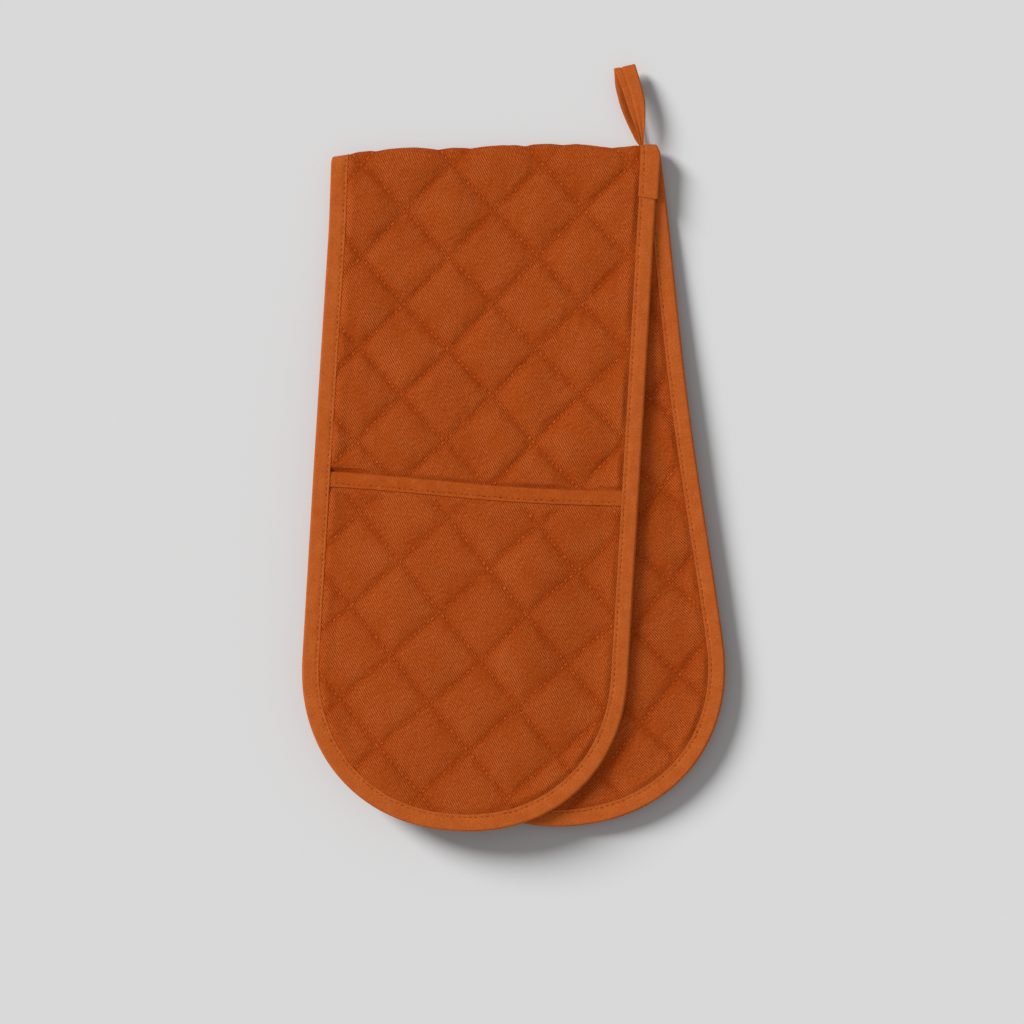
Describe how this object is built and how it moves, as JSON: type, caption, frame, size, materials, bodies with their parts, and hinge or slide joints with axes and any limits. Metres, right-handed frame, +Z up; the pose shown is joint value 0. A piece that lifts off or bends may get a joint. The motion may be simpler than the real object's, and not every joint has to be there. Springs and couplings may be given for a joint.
{
  "type": "double oven glove",
  "caption": "Quilted cotton strip with a padded hand pocket at each end, bound with twill tape, folded in two, with a hanging loop at the fold.",
  "frame": {"origin": "centre of the folded glove's bounding box, on the surface that it rests on", "axes": "+Y along the glove from the finger ends towards the fold and the hanging loop, +Z up through the two halves, +X to the right"},
  "size_m": [0.247, 0.445, 0.0265],
  "materials": {
    "face_cloth": "matt rust-orange cotton twill, diamond quilted",
    "edge_tape": "matt rust-orange cotton tape, slightly lighter than the face cloth",
    "loop_tape": "folded cotton tape, slightly wrinkled",
    "wadding": "white felted polyester and cotton wadding",
    "thread": "spun sewing thread in the tape's colour"
  },
  "bodies": {
    "back_pocket": {"back_pocket_cover": "face_cloth", "back_pocket_wadding": "wadding", "back_pocket_lining": "face_cloth", "back_mouth_binding": "edge_tape", "back_mouth_thread": "thread"},
    "back_half": {"back_outer_cloth": "face_cloth", "back_wadding": "wadding", "back_inner_cloth": "face_cloth", "back_edge_binding": "edge_tape", "back_edge_thread": "thread", "back_pocket_seam": "face_cloth"},
    "fold_spine": {"fold_outer_cloth": "face_cloth", "fold_wadding": "wadding", "fold_inner_cloth": "face_cloth", "fold_binding_right": "edge_tape", "fold_binding_left": "edge_tape"},
    "front_half": {"front_outer_cloth": "face_cloth", "front_wadding": "wadding", "front_inner_cloth": "face_cloth", "front_edge_binding": "edge_tape", "front_edge_thread": "thread", "front_pocket_seam": "face_cloth", "binding_join": "edge_tape"},
    "front_pocket": {"front_pocket_cover": "face_cloth", "front_pocket_wadding": "wadding", "front_pocket_lining": "face_cloth", "front_mouth_binding": "edge_tape", "front_mouth_thread": "thread"},
    "hanging_loop": {"hanging_loop": "loop_tape"}
  },
  "joints": [
    {"name": "back_pocket_mouth", "type": "hinge", "parent": "back_pocket", "child": "back_half", "pos_m": [0.03633, -0.21157, 0.0038], "axis": [0.9956, 0.0932, 0], "range_deg": [0, 10]},
    {"name": "fold_lower", "type": "hinge", "parent": "back_half", "child": "fold_spine", "pos_m": [0.00032, 0.17261, 0.00226], "axis": [-1, 0, 0], "range_deg": [0, 87]},
    {"name": "fold_upper", "type": "hinge", "parent": "fold_spine", "child": "front_half", "pos_m": [-0.00032, 0.17261, 0.00834], "axis": [-1, 0, 0], "range_deg": [0, 87]},
    {"name": "front_pocket_mouth", "type": "hinge", "parent": "front_half", "child": "front_pocket", "pos_m": [-0.03633, -0.21157, 0.0188], "axis": [0.9956, -0.0932, 0], "range_deg": [0, 10]},
    {"name": "loop_swing", "type": "hinge", "parent": "fold_spine", "child": "hanging_loop", "pos_m": [0.0854, 0.17507, 0.0053], "axis": [1, 0, 0], "range_deg": [0, 60]}
  ],
  "couplings": [
    {"joint": "fold_upper", "follows": "fold_lower", "ratio": 1}
  ]
}
